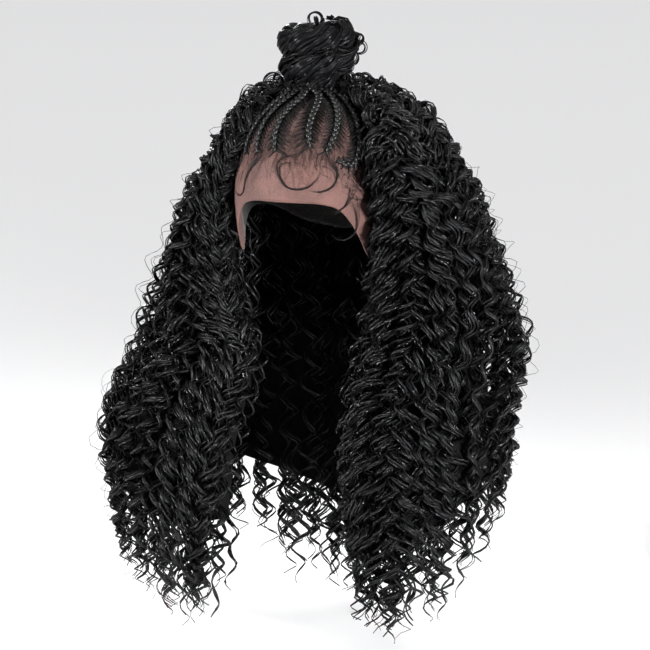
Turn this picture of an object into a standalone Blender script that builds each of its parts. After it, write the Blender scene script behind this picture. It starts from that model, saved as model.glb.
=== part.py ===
# Braid wig: a lace front wig with six cornrow plaits that run back into a curly top knot,
# and long curly hair at the sides and the back. Metres, +Z up.
# The origin is the inside of the cap at the crown, where a head bears. The face looks to -Y,
# so -X is the wearer's right. Heights are given as a drop below that origin.

import math
from collections import namedtuple

import bmesh
import bpy
import numpy as np
from mathutils import Vector

# Head that the cap is shaped for
HEAD_HALF_WIDTH = 0.077
HEAD_HALF_DEPTH = 0.098
CROWN_HEIGHT = 0.098        # crown down to the widest section
TAB_LENGTH = 0.067          # widest section down to the tips of the ear tabs
HEAD_NARROWING = 0.10       # how much the head is narrower there, as a share

# Room for the wearer's neck and shoulders, below the ear tabs
NECK_DROP = 0.070           # ear tabs down to the neck's narrowest section
NECK_HALF_WIDTH = 0.063
NECK_HALF_DEPTH = 0.061
SHOULDER_SLOPE = 0.095      # neck down to the tops of the shoulders
SHOULDER_HALF_WIDTH = 0.183
CHEST_HALF_DEPTH = 0.082

# Cap and lace
CAP_WALL = 0.0012
LACE_WALL = 0.0012
SEAM_FORWARD = 0.006        # seam between lace and cap, in front of the crown
GAP = 0.0003                # clearance between pieces that touch
SEAM_GAP = 0.0007           # clearance along the seam

# Plaits
BRAID_START_WIDTH = 0.0044
BRAID_END_WIDTH = 0.0078
BRAID_FLATNESS = 0.80       # height as a share of the width
BRAID_STEP = 0.0050         # length of one crossing
BRAID_LOBE = 0.16           # how far each crossing bulges, as a share of the half-width
BRAID_TIP = 0.6             # first ring's width as a share
BRAID_SIDES = 8

# Top knot
BUN_X = -0.004
BUN_BACK = 0.004
BUN_RADIUS = 0.0395
BUN_HEIGHT = 0.066
BUN_LEAN_X = 0.009
BUN_LEAN_BACK = 0.004
BUN_TURNS = 2.1             # turns of the wound rope
BUN_RIDGE = 0.075           # its bulge, as a share of the radius
BUN_FOOT = 0.2              # height below which the bulge fades, as a share
BUN_CAP = 0.02              # rise of the top above its last ring, as a share
BUN_SIDES = 18
BUN_ROOT = 0.48             # how far in the plaits run, as a share of the bun's radius

# Hair
AXIS_BACK = 0.010           # the hair's middle line, behind the origin
HANG_LENGTH = 0.400         # widest section of the head down to the hem's datum
SHOULDER_COVER = 0.035      # hair outside the shoulders
SQUARENESS = 2.3            # 2 is an ellipse seen from above
PART_ANGLE = 125.0          # where side hair and back hair part, from the front
SIDE_LOCKS = 8
BACK_LOCKS = 6
CROWN_ROWS = 7
HANG_ROWS = 22
LOCK_PROFILE = (0.0, 0.72, 1.0, 0.72)   # height across a lock, from groove to groove
LOCK_DEPTH = 0.30           # groove between two locks, as a share of a lock's width
LOCK_SPREAD = 0.2           # how much grooves differ, as a share
TIP_LENGTH = 0.040          # how far a lock's tip hangs below the hem
TIP_SPREAD = 0.4
HEM_BEGIN = 0.3             # share of the hang from which locks follow the hem
HEM_TAPER = 0.05
WAVE_LENGTH = 0.066         # length of one curl
WAVE_SPREAD = 0.12
WAVE_DEPTH = 0.15           # curl in and out, as a share of a lock's width
WAVE_SWAY = 0.14            # curl to the sides, as a share of a lock's width
WAVE_BEGIN = 0.3            # levels between which the curl grows to its full size
WAVE_FULL = 1.2

CAP_COLUMNS = 36
CAP_ROWS = 9
FORM_FLOOR = 0.26           # shoulder tops down to the end of the room for the body

HAIR_COLOUR = (0.010, 0.010, 0.011)
LACE_COLOUR = (0.376, 0.188, 0.141)
NET_COLOUR = (0.020, 0.017, 0.016)

# Lower edge of cap and lace: drop below the widest section as a share of TAB_LENGTH
RimPoint = namedtuple("RimPoint", "angle drop")
RIM = [
    RimPoint(0, -0.01), RimPoint(25, 0.00), RimPoint(41, 0.10), RimPoint(56, 0.52),
    RimPoint(66, 0.87), RimPoint(73, 1.00), RimPoint(84, 0.93), RimPoint(94, 0.55),
    RimPoint(104, 0.40), RimPoint(125, 0.48), RimPoint(150, 0.78), RimPoint(180, 0.90),
]

# Room below the ear tabs: drop as a share of NECK_DROP, the rest of the head's half sizes
BodySection = namedtuple("BodySection", "drop width front back")
JAW = BodySection(0.5, 0.86, 0.82, 0.74)

# Shoulders: drop as a share of SHOULDER_SLOPE, the rest as shares of the body's half sizes
BODY = [
    BodySection(0.37, 0.41, 0.67, 0.79),
    BodySection(0.68, 0.63, 0.73, 0.91),
    BodySection(1.00, 0.90, 0.83, 1.04),
    BodySection(1.32, 1.00, 0.90, 1.10),
]

# Plait middle lines, seen from above: where they start and which way they are pulled,
# across as a share of HEAD_HALF_WIDTH and forward as a share of HEAD_HALF_DEPTH,
# and the angle from the front at which they reach the bun
Braid = namedtuple("Braid", "start_x start_y pull_x pull_y lead_x lead_y bun_angle")
BRAIDS = [
    Braid(-0.66, 0.65, -0.65, 0.42, -0.23, 0.40, -55),
    Braid(-0.44, 0.79, -0.57, 0.51, 0.03, 0.31, -33),
    Braid(-0.17, 0.87, -0.35, 0.55, 0.17, 0.39, -11),
    Braid(0.27, 0.81, 0.10, 0.64, 0.36, 0.29, 13),
    Braid(0.46, 0.77, 0.60, 0.51, 0.43, 0.21, 37),
    Braid(0.60, 0.71, 1.06, 0.48, 0.50, 0.08, 60),
]

# Bun: height as a share of BUN_HEIGHT, radius as a share of BUN_RADIUS
BunRing = namedtuple("BunRing", "height radius")
BUN = [
    BunRing(-0.16, 0.63), BunRing(0.03, 0.64), BunRing(0.14, 0.74), BunRing(0.26, 0.88),
    BunRing(0.38, 0.90), BunRing(0.49, 0.87), BunRing(0.60, 0.95), BunRing(0.72, 1.00),
    BunRing(0.84, 0.90), BunRing(0.94, 0.62), BunRing(1.00, 0.24),
]

# Hair outline. drop: 0 at the crown, 1 at the widest section, 2 at the hem's datum.
# left_edge and right_edge: angle from the front where the hair begins on the -X and +X side.
# left and right: 0 on the head's side, 1 at the outer side. front and back: shares of the head's.
Outline = namedtuple("Outline", "drop left_edge right_edge left right front back")
HAIR = [
    Outline(-0.13, 52, 64, 0.17, 0.20, 3.60, 4.40),
    Outline(0.00, 49, 62, 0.27, 0.33, 3.00, 7.50),
    Outline(0.12, 43, 61, 0.21, 0.30, 0.87, 2.30),
    Outline(0.31, 42, 57, 0.19, 0.34, 0.79, 1.85),
    Outline(0.56, 42, 49, 0.21, 0.39, 0.81, 1.58),
    Outline(0.92, 50, 50, 0.28, 0.51, 0.70, 1.51),
    Outline(1.08, 53, 53, 0.47, 0.66, 0.63, 1.56),
    Outline(1.20, 51, 51, 0.62, 0.81, 0.70, 1.76),
    Outline(1.33, 42, 45, 0.74, 0.90, 0.78, 1.79),
    Outline(1.40, 31, 39, 0.80, 0.93, 0.87, 1.78),
    Outline(1.50, 30, 28, 0.88, 0.95, 1.10, 1.74),
    Outline(1.63, 32, 23, 1.03, 0.91, 1.30, 1.66),
    Outline(1.75, 33, 24, 1.08, 0.90, 1.35, 1.66),
    Outline(1.88, 37, 26, 1.05, 0.90, 1.36, 1.66),
    Outline(2.00, 41, 26, 0.98, 0.89, 1.34, 1.64),
]

# Hem between the locks' tips: length as a share of HANG_LENGTH on the -X and +X side
HemPoint = namedtuple("HemPoint", "angle left right")
HEM = [
    HemPoint(18, 0.88, 1.02), HemPoint(35, 0.92, 1.00), HemPoint(50, 0.98, 0.96),
    HemPoint(62, 0.95, 0.88), HemPoint(75, 0.87, 0.74), HemPoint(90, 0.80, 0.62),
    HemPoint(110, 0.78, 0.66), HemPoint(130, 0.86, 0.84), HemPoint(180, 0.98, 0.98),
]


def read(table, key, column, value):
    """A column of a table, between its rows."""
    keys = [getattr(row, key) for row in table]
    return np.interp(value, keys, [getattr(row, column) for row in table])


def material(name, colour, roughness):
    made = bpy.data.materials.new(name)
    made.use_nodes = True
    shader = made.node_tree.nodes["Principled BSDF"]
    shader.inputs["Base Color"].default_value = (*colour, 1.0)
    shader.inputs["Roughness"].default_value = roughness
    shader.inputs["Metallic"].default_value = 0.0
    return made


def add_mesh(name, points, faces, collection, look=None):
    mesh = bpy.data.meshes.new(name)
    mesh.from_pydata([tuple(point) for point in points], [], faces)
    work = bmesh.new()
    work.from_mesh(mesh)
    bmesh.ops.recalc_face_normals(work, faces=work.faces)
    work.to_mesh(mesh)
    work.free()
    if look:
        mesh.materials.append(look)
    body = bpy.data.objects.new(name, mesh)
    collection.objects.link(body)
    return body


def side_faces(rows, count):
    """Triangles between rings. Neighbours that share a wall split it along one diagonal."""
    faces = []
    for row in range(rows - 1):
        for step in range(count):
            a = row * count + step
            b = row * count + (step + 1) % count
            c, d = b + count, a + count
            faces += [(a, b, c), (a, c, d)] if step else [(a, b, d), (b, c, d)]
    return faces


def loft(name, rings, collection, look=None, top=None, bottom=None):
    """Closed body through rings of equal counts. An end without a middle point of its own
    fans out from its ring's first point."""
    rows, count = len(rings), len(rings[0])
    points = [point for ring in rings for point in ring]
    faces = side_faces(rows, count)
    for middle, start in ((top, 0), (bottom, (rows - 1) * count)):
        if middle is None:
            faces += [(start, start + step, start + step + 1) for step in range(1, count - 1)]
        else:
            points.append(middle)
            faces += [
                (len(points) - 1, start + step, start + (step + 1) % count)
                for step in range(count)
            ]
    return add_mesh(name, points, faces, collection, look)


def cut(body, cutter):
    made = body.modifiers.new("cut_" + cutter.name, "BOOLEAN")
    made.operation = "DIFFERENCE"
    made.solver = "EXACT"
    made.object = cutter


def head_share(drop):
    """Half-width of the head at a drop, as a share of its widest."""
    if drop < CROWN_HEIGHT:
        return math.sqrt(max(0.0, 1 - (1 - drop / CROWN_HEIGHT) ** 2))
    below = min(1.0, (drop - CROWN_HEIGHT) / TAB_LENGTH)
    return 1 - HEAD_NARROWING * below ** 2


def head_point(angle, level, grow=0.0):
    """Point on the head form, grown outwards. level is 0 at the crown, 1 at the widest
    section and 2 at the tips of the ear tabs."""
    turn = math.radians(angle)
    if level < 1:
        share = math.sin(level * math.pi / 2)
        rise = (CROWN_HEIGHT + grow) * math.cos(level * math.pi / 2)
    else:
        share = 1 - HEAD_NARROWING * (level - 1) ** 2
        rise = -(level - 1) * TAB_LENGTH
    return Vector((
        (HEAD_HALF_WIDTH + grow) * share * math.sin(turn),
        -(HEAD_HALF_DEPTH + grow) * share * math.cos(turn),
        rise - CROWN_HEIGHT,
    ))


def rim_level(angle):
    folded = abs((angle + 180) % 360 - 180)
    drop = read(RIM, "angle", "drop", folded)
    return 1 + drop if drop > 0 else 1 + drop * TAB_LENGTH / CROWN_HEIGHT


def cap_rings(grow):
    """Rings from just below the crown to the rim, on the grown head form."""
    angles = [360 * step / CAP_COLUMNS for step in range(CAP_COLUMNS)]
    return [
        [head_point(angle, rim_level(angle) * row / CAP_ROWS, grow) for angle in angles]
        for row in range(1, CAP_ROWS + 1)
    ]


def dome_point(x, y, grow):
    """Point on the grown crown above a place in plan, with the outward direction there."""
    wide, deep, high = HEAD_HALF_WIDTH + grow, HEAD_HALF_DEPTH + grow, CROWN_HEIGHT + grow
    rest = max(0.02, 1 - (x / wide) ** 2 - (y / deep) ** 2)
    point = Vector((x, y, high * math.sqrt(rest) - CROWN_HEIGHT))
    outward = Vector((x / wide ** 2, y / deep ** 2, (point.z + CROWN_HEIGHT) / high ** 2))
    return point, outward.normalized()


def cap_piece(name, wall, look, keep_front, collection):
    """Half of the cap's surface, split at the seam and thickened outwards."""
    rings = cap_rings(0.0)
    points = [point for ring in rings for point in ring] + [Vector((0, 0, 0))]
    faces = side_faces(CAP_ROWS, CAP_COLUMNS)
    faces += [
        (len(points) - 1, step, (step + 1) % CAP_COLUMNS) for step in range(CAP_COLUMNS)
    ]
    body = add_mesh(name, points, faces, collection, look)
    side = 1 if keep_front else -1
    work = bmesh.new()
    work.from_mesh(body.data)
    bmesh.ops.bisect_plane(
        work,
        geom=work.verts[:] + work.edges[:] + work.faces[:],
        dist=1e-7,
        plane_co=(0, -SEAM_FORWARD - side * SEAM_GAP / 2, 0),
        plane_no=(0, side, 0),
        clear_outer=True,
    )
    top = max(work.faces, key=lambda face: face.calc_center_median().z)
    if top.normal.z < 0:
        bmesh.ops.reverse_faces(work, faces=work.faces)
    work.to_mesh(body.data)
    work.free()
    shell = body.modifiers.new("wall", "SOLIDIFY")
    shell.thickness = wall
    shell.offset = 1.0
    shell.use_even_offset = True
    body.data.shade_smooth()
    return body


def wearer_form(collection):
    """Room for the head in its cap, the neck and the shoulders. The hair lies around it."""
    seat = max(CAP_WALL, LACE_WALL) + GAP
    rings = cap_rings(seat)
    tabs = CROWN_HEIGHT + TAB_LENGTH
    neck = tabs + NECK_DROP
    sections = [
        (tabs + JAW.drop * NECK_DROP, JAW.width * HEAD_HALF_WIDTH,
         JAW.front * HEAD_HALF_DEPTH, JAW.back * HEAD_HALF_DEPTH),
        (neck, NECK_HALF_WIDTH, NECK_HALF_DEPTH, NECK_HALF_DEPTH),
    ]
    for row in BODY + [BODY[-1]._replace(drop=1 + FORM_FLOOR / SHOULDER_SLOPE)]:
        sections.append((
            neck + row.drop * SHOULDER_SLOPE,
            row.width * SHOULDER_HALF_WIDTH,
            row.front * CHEST_HALF_DEPTH,
            row.back * CHEST_HALF_DEPTH,
        ))
    for drop, width, front, back in sections:
        ring = []
        for step in range(CAP_COLUMNS):
            turn = 2 * math.pi * step / CAP_COLUMNS
            depth = front if math.cos(turn) > 0 else back
            ring.append(Vector((width * math.sin(turn), -depth * math.cos(turn), -drop)))
        rings.append(ring)
    return loft("wearer_form", rings, collection,
                top=Vector((0, 0, seat)), bottom=Vector((0, 0, -sections[-1][0])))


def bun_body(name, grow, collection, look=None):
    """Rope of hair wound round its core, seen as bulges that climb as they turn."""
    rings = []
    for row in BUN:
        middle_x = BUN_X + BUN_LEAN_X * row.height
        middle_y = BUN_BACK + BUN_LEAN_BACK * row.height
        ring = []
        for step in range(BUN_SIDES):
            turn = 2 * math.pi * step / BUN_SIDES
            bulge = BUN_RIDGE * math.cos(turn - 2 * math.pi * BUN_TURNS * row.height)
            bulge *= min(1.0, max(0.0, row.height / BUN_FOOT))
            radius = BUN_RADIUS * row.radius * (1 + bulge) + grow
            ring.append(Vector((
                middle_x + radius * math.sin(turn),
                middle_y - radius * math.cos(turn),
                BUN_HEIGHT * row.height,
            )))
        rings.append(ring)
    top = Vector((BUN_X + BUN_LEAN_X, BUN_BACK + BUN_LEAN_BACK, BUN_HEIGHT * (1 + BUN_CAP)))
    foot = Vector((BUN_X, BUN_BACK, BUN[0].height * BUN_HEIGHT))
    return loft(name, rings, collection, look, top=foot, bottom=top)


def braid_line(row, share):
    """Place in plan along a plait's middle line, a cubic curve that ends inside the bun."""
    turn = math.radians(row.bun_angle)
    root = BUN_RADIUS * BUN_ROOT
    line = [
        (row.start_x * HEAD_HALF_WIDTH, -row.start_y * HEAD_HALF_DEPTH),
        (row.pull_x * HEAD_HALF_WIDTH, -row.pull_y * HEAD_HALF_DEPTH),
        (row.lead_x * HEAD_HALF_WIDTH, -row.lead_y * HEAD_HALF_DEPTH),
        (BUN_X + root * math.sin(turn), BUN_BACK - root * math.cos(turn)),
    ]
    rest = 1 - share
    weights = (rest ** 3, 3 * rest ** 2 * share, 3 * rest * share ** 2, share ** 3)
    return [sum(w * point[axis] for w, point in zip(weights, line)) for axis in (0, 1)]


def braid_body(name, row, collection, look):
    """Plait on the lace: a flattened tube whose two sides bulge by turns."""
    seat = max(CAP_WALL, LACE_WALL) + GAP
    samples = 40
    trace = [dome_point(*braid_line(row, step / samples), seat)[0]
             for step in range(samples + 1)]
    length = sum((after - before).length for before, after in zip(trace, trace[1:]))
    steps = max(6, round(length / BRAID_STEP))
    rings = []
    for step in range(steps + 1):
        share = step / steps
        width = BRAID_START_WIDTH + (BRAID_END_WIDTH - BRAID_START_WIDTH) * share
        if step == 0:
            width *= BRAID_TIP
        height = width * BRAID_FLATNESS
        foot, outward = dome_point(*braid_line(row, share), seat)
        ahead, _ = dome_point(*braid_line(row, min(1.0, share + 1 / samples)), seat)
        behind, _ = dome_point(*braid_line(row, max(0.0, share - 1 / samples)), seat)
        along = (ahead - behind).normalized()
        across = along.cross(outward).normalized()
        middle = foot + outward * height / 2
        swap = 1 if step % 2 else -1
        ring = []
        for corner in range(BRAID_SIDES):
            turn = 2 * math.pi * corner / BRAID_SIDES
            lobe = 1 + BRAID_LOBE * swap * (1 if math.cos(turn) > 0 else -1)
            wide = width / 2 * math.cos(turn) * lobe / (1 + BRAID_LOBE)
            ring.append(middle + across * wide + outward * (height / 2 * math.sin(turn)))
        rings.append(ring)
    ends = [sum(ring, Vector()) / BRAID_SIDES for ring in (rings[0], rings[-1])]
    return loft(name, rings, collection, look, top=ends[0], bottom=ends[1])


def hair_drop(level):
    """Drop below the crown of a level of the outline table."""
    if level < 1:
        return level * CROWN_HEIGHT
    return CROWN_HEIGHT + (level - 1) * HANG_LENGTH


def hair_radius(level, angle):
    """Distance from the hair's middle line to its outer side."""
    share = head_share(max(0.0, hair_drop(level)))
    head_side = HEAD_HALF_WIDTH * share
    outer = SHOULDER_HALF_WIDTH + SHOULDER_COVER
    side = "right" if angle < 180 else "left"
    width = head_side + (outer - head_side) * read(HAIR, "drop", side, level)
    front = (HEAD_HALF_DEPTH * share + AXIS_BACK) * read(HAIR, "drop", "front", level)
    back = max(AXIS_BACK, HEAD_HALF_DEPTH * share - AXIS_BACK)
    back *= read(HAIR, "drop", "back", level)
    depth = front if angle < 90 or angle > 270 else back
    turn = math.radians(angle)
    across = abs(math.sin(turn) / width) ** SQUARENESS
    along = abs(math.cos(turn) / depth) ** SQUARENESS
    return (across + along) ** (-1 / SQUARENESS)


def hair_grid():
    """Rows of points from the +X parting round the back to the -X parting."""
    source = np.random.default_rng(7)
    locks = 2 * SIDE_LOCKS + BACK_LOCKS
    start = source.uniform(0, 2 * math.pi, locks)
    pace = source.uniform(1 - WAVE_SPREAD, 1 + WAVE_SPREAD, locks)
    groove = source.uniform(1 - LOCK_SPREAD, 1 + LOCK_SPREAD, locks + 1)
    tips = source.uniform(1 - TIP_SPREAD, 1 + TIP_SPREAD, locks)
    first, last = 4 * SIDE_LOCKS, 4 * (SIDE_LOCKS + BACK_LOCKS)
    levels = [HAIR[0].drop + (1 - HAIR[0].drop) * (row / CROWN_ROWS) ** 0.8
              for row in range(CROWN_ROWS)]
    levels += [1 + row / HANG_ROWS for row in range(HANG_ROWS + 1)]
    rows = []
    for level in levels:
        begin = float(read(HAIR, "drop", "right_edge", level))
        end = 360 - float(read(HAIR, "drop", "left_edge", level))
        down = max(0.0, level - 1)
        swing = min(1.0, max(0.0, (level - WAVE_BEGIN) / (WAVE_FULL - WAVE_BEGIN)))
        row = []
        for column in range(4 * locks + 1):
            spot = (0, first, last, 4 * locks)
            angle = float(np.interp(column, spot, (begin, PART_ANGLE, 360 - PART_ANGLE, end)))
            if column < first:
                span = (PART_ANGLE - begin) / SIDE_LOCKS
            elif column < last:
                span = (360 - 2 * PART_ANGLE) / BACK_LOCKS
            else:
                span = (end - 360 + PART_ANGLE) / SIDE_LOCKS
            radius = hair_radius(level, angle)
            spacing = radius * math.radians(span)
            lock, place = min(column // 4, locks - 1), column % 4
            before = max(0, column // 4 - 1)
            crest = LOCK_PROFILE[place]
            side = "right" if angle < 180 else "left"
            hem = HANG_LENGTH * read(HEM, "angle", side, min(angle, 360 - angle))
            fall = down * HANG_LENGTH
            fall += (hem - HANG_LENGTH) * max(0.0, down - HEM_BEGIN) / (1 - HEM_BEGIN)
            fall += TIP_LENGTH * tips[lock] * crest * down ** 5
            drop = hair_drop(level) if level < 1 else CROWN_HEIGHT + fall
            phases = [start[k] + 2 * math.pi * drop / (WAVE_LENGTH * pace[k])
                      for k in ((before, lock) if place == 0 else (lock,))]
            wave = sum(math.cos(phase) for phase in phases) / len(phases)
            sway = sum(math.sin(phase) for phase in phases) / len(phases)
            radius -= spacing * LOCK_DEPTH * groove[column // 4] * (1 - crest)
            radius += spacing * WAVE_DEPTH * swing * wave * (1 + crest) / 2
            radius *= 1 - HEM_TAPER * down ** 6
            turn = math.radians(angle) + WAVE_SWAY * swing * sway * math.radians(span)
            row.append(Vector((radius * math.sin(turn),
                               AXIS_BACK - radius * math.cos(turn), -drop)))
        rows.append(row)
    return rows


def hair_body(name, grid, columns, middle, shifts, collection, look):
    """Slice of the hair, closed to its middle line. shifts opens the gap to its neighbours."""
    rings = []
    for row in grid:
        height = sum(point.z for point in row) / len(row)
        axis = Vector((0, AXIS_BACK, height)) + middle
        ring = [axis] + [row[k].copy() for k in columns]
        ring[1] += shifts[0]
        ring[-1] += shifts[1]
        rings.append(ring)
    return loft(name, rings, collection, look)


def main():
    for old in list(bpy.data.objects):
        bpy.data.objects.remove(old, do_unlink=True)
    wig = bpy.data.collections.new("braid_wig")
    tools = bpy.data.collections.new("cutters")
    for collection in (wig, tools):
        bpy.context.scene.collection.children.link(collection)

    hair = material("hair", HAIR_COLOUR, 0.38)
    lace = material("lace", LACE_COLOUR, 0.85)
    net = material("net", NET_COLOUR, 0.9)

    form = wearer_form(tools)
    well = bun_body("bun_well", GAP, tools)
    for cutter in (form, well):
        cutter.hide_render = True
        cutter.display_type = "WIRE"

    cap_piece("cap", CAP_WALL, net, False, wig)
    cap_piece("lace_front", LACE_WALL, lace, True, wig)

    for number, row in enumerate(BRAIDS, 1):
        cut(braid_body("braid_" + str(number), row, wig, hair), well)
    cut(bun_body("bun", 0.0, wig, hair), form)

    grid = hair_grid()
    first, last = 4 * SIDE_LOCKS, 4 * (SIDE_LOCKS + BACK_LOCKS)
    turn = math.radians(PART_ANGLE)
    near = Vector((math.cos(turn), math.sin(turn), 0)) * GAP / 2
    far = Vector((-near.x, near.y, 0))
    rear = Vector((0, GAP / 2 / math.sin(turn), 0))
    none = Vector((0, 0, 0))
    slices = [
        ("hair_right", range(0, first + 1), -near, (none, -near)),
        ("hair_back", range(first, last + 1), rear, (near, far)),
        ("hair_left", range(last, len(grid[0])), -far, (-far, none)),
    ]
    for name, columns, middle, shifts in slices:
        body = hair_body(name, grid, columns, middle, shifts, wig, hair)
        cut(body, form)
        cut(body, well)


main()
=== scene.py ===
import math

import bmesh
import bpy
import numpy as np
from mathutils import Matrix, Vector


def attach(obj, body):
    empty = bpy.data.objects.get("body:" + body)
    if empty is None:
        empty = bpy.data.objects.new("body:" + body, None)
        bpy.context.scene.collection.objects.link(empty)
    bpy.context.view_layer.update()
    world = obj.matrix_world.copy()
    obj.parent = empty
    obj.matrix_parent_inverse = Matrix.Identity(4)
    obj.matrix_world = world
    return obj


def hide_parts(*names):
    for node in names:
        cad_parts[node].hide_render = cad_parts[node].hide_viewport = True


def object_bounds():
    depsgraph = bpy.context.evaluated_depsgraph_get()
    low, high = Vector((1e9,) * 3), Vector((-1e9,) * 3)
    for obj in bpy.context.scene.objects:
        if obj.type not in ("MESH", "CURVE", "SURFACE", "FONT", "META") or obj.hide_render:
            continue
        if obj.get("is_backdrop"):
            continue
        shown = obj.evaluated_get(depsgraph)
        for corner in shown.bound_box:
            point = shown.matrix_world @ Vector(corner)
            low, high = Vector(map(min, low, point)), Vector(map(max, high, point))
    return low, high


# A braid wig: lace front, six plaits into a curly top knot, long curly hair round a hollow
# for the head. Metres, +Z up, the face opening looks to -Y, the crown's inside is the origin.

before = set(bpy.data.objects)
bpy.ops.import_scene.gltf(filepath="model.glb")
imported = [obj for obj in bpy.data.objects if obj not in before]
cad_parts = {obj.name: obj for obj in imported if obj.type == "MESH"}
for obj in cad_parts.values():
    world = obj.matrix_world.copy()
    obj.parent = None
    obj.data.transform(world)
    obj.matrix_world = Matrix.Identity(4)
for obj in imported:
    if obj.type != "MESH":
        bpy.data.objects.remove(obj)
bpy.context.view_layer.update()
print("frame loaded")


# small helpers for whole arrays

def unit(v):
    # every vector divided by its length
    return v / np.maximum(np.linalg.norm(v, axis=-1, keepdims=True), 1e-12)


def smooth(x):
    # 3x^2 - 2x^3 between 0 and 1, flat outside
    x = np.clip(x, 0, 1)
    return x * x * (3 - 2 * x)


def dot(a, b):
    return np.sum(a * b, axis=-1, keepdims=True)


def stepLengths(path):
    # length walked along each path up to each of its points
    steps = np.linalg.norm(np.diff(path, axis=1), axis=-1)
    return np.concatenate([np.zeros((len(path), 1)), np.cumsum(steps, axis=1)], axis=1)


def resample(path, count, keep=1.0):
    # the same lines with count points, evenly spaced over the kept share of their length
    walked = stepLengths(path)
    wanted = np.linspace(0, 1, count)[None, :] * walked[:, -1:] * np.reshape(keep, (-1, 1))
    made = np.empty((len(path), count, 3))
    for line in range(len(path)):
        for axis in range(3):
            made[line, :, axis] = np.interp(wanted[line], walked[line], path[line, :, axis])
    return made, wanted


def ringProfile(sides):
    # corners of a section on a unit circle: thickness first, then width
    turn = 2 * np.pi * np.arange(sides) / sides
    return np.stack([np.cos(turn), np.sin(turn)], axis=-1)


thinProfile = ringProfile(3)

# a flat lock of hair: a wide top with sloping sides, thickness first, then width
lockProfile = np.array([[0.9, -0.5], [0.9, 0.5], [-0.4, 1.0], [-0.4, -1.0]])

# streaks on a strand: pattern units in each metre, and the shift from strand to strand
strandUv = {"along": 100, "shift": 7.0}


def columnDraw(source, count):
    # a function that draws one value for each strand, as a column
    return lambda low, high: source.uniform(low, high, (count, 1))


def strandSet(kind):
    # random source, its column draw, number of strands, and the share of the way along them
    source, count = np.random.default_rng(kind["seed"]), kind["count"]
    return source, columnDraw(source, count), count, np.linspace(0, 1, kind["samples"])[None, :]


def flatSizes(size, kind):
    # half thickness and half width of strands whose size is given as a share
    return np.stack([size * kind["thick"], size * kind["width"]], axis=-1)


def sweep(path, thin, half, profile, tone):
    # a profile carried along each path: point = path + thin * a + (tangent x thin) * b
    tangent = unit(np.gradient(path, axis=1))
    thin = unit(thin - dot(thin, tangent) * tangent)
    wide = np.cross(tangent, thin)
    a = half[..., 0, None] * profile[:, 0]
    b = half[..., 1, None] * profile[:, 1]
    points = path[:, :, None] + thin[:, :, None] * a[..., None] + wide[:, :, None] * b[..., None]
    lines, count, sides = points.shape[:3]
    number = np.arange(lines * count * sides).reshape(lines, count, sides)
    after = np.roll(number, -1, axis=2)
    quads = np.stack([number[:, :-1], after[:, :-1], after[:, 1:], number[:, 1:]], axis=-1)
    walked = stepLengths(path)
    along = np.broadcast_to(walked[..., None], number.shape)
    across = np.broadcast_to(np.arange(sides) / sides, number.shape)
    u = np.stack([across[:, :-1], across[:, :-1] + 1 / sides] * 2, axis=-1)[..., [0, 1, 1, 0]]
    v = np.stack([along[:, :-1], along[:, :-1], along[:, 1:], along[:, 1:]], axis=-1)
    u = u + np.reshape(tone, (-1, 1, 1, 1)) * strandUv["shift"]
    return {
        "points": points.reshape(-1, 3),
        "quads": quads.reshape(-1, 4),
        "quadUv": np.stack([u, v * strandUv["along"]], axis=-1).reshape(-1, 4, 2),
        "ends": np.concatenate([number[:, 0, ::-1], number[:, -1]]),
        "tone": np.repeat(np.asarray(tone, float), count * sides),
    }


def gridPart(points, closed=False, tone=0.5):
    # rows and columns of points joined by quads, outwards where columns turn to the right.
    # In a closed one the last column meets the first, and the first and last rows are faces.
    rows, count = points.shape[:2]
    number = np.arange(rows * count).reshape(rows, count)
    left, right, ends = number[:, :-1], number[:, 1:], np.zeros((0, 3), int)
    if closed:
        left, right = number, np.roll(number, -1, axis=1)
        ends = np.stack([number[0, ::-1], number[-1]])
    quads = np.stack([left[:-1], right[:-1], right[1:], left[1:]], axis=-1).reshape(-1, 4)
    spot = np.stack(np.meshgrid(np.arange(count), np.arange(rows)), axis=-1).reshape(-1, 2)
    return {"points": points.reshape(-1, 3), "quads": quads, "quadUv": spot[quads].astype(float),
            "ends": ends, "tone": np.full(rows * count, tone)}


def addObject(name, data):
    made = bpy.data.objects.new(name, data)
    bpy.context.scene.collection.objects.link(made)
    return made


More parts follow.
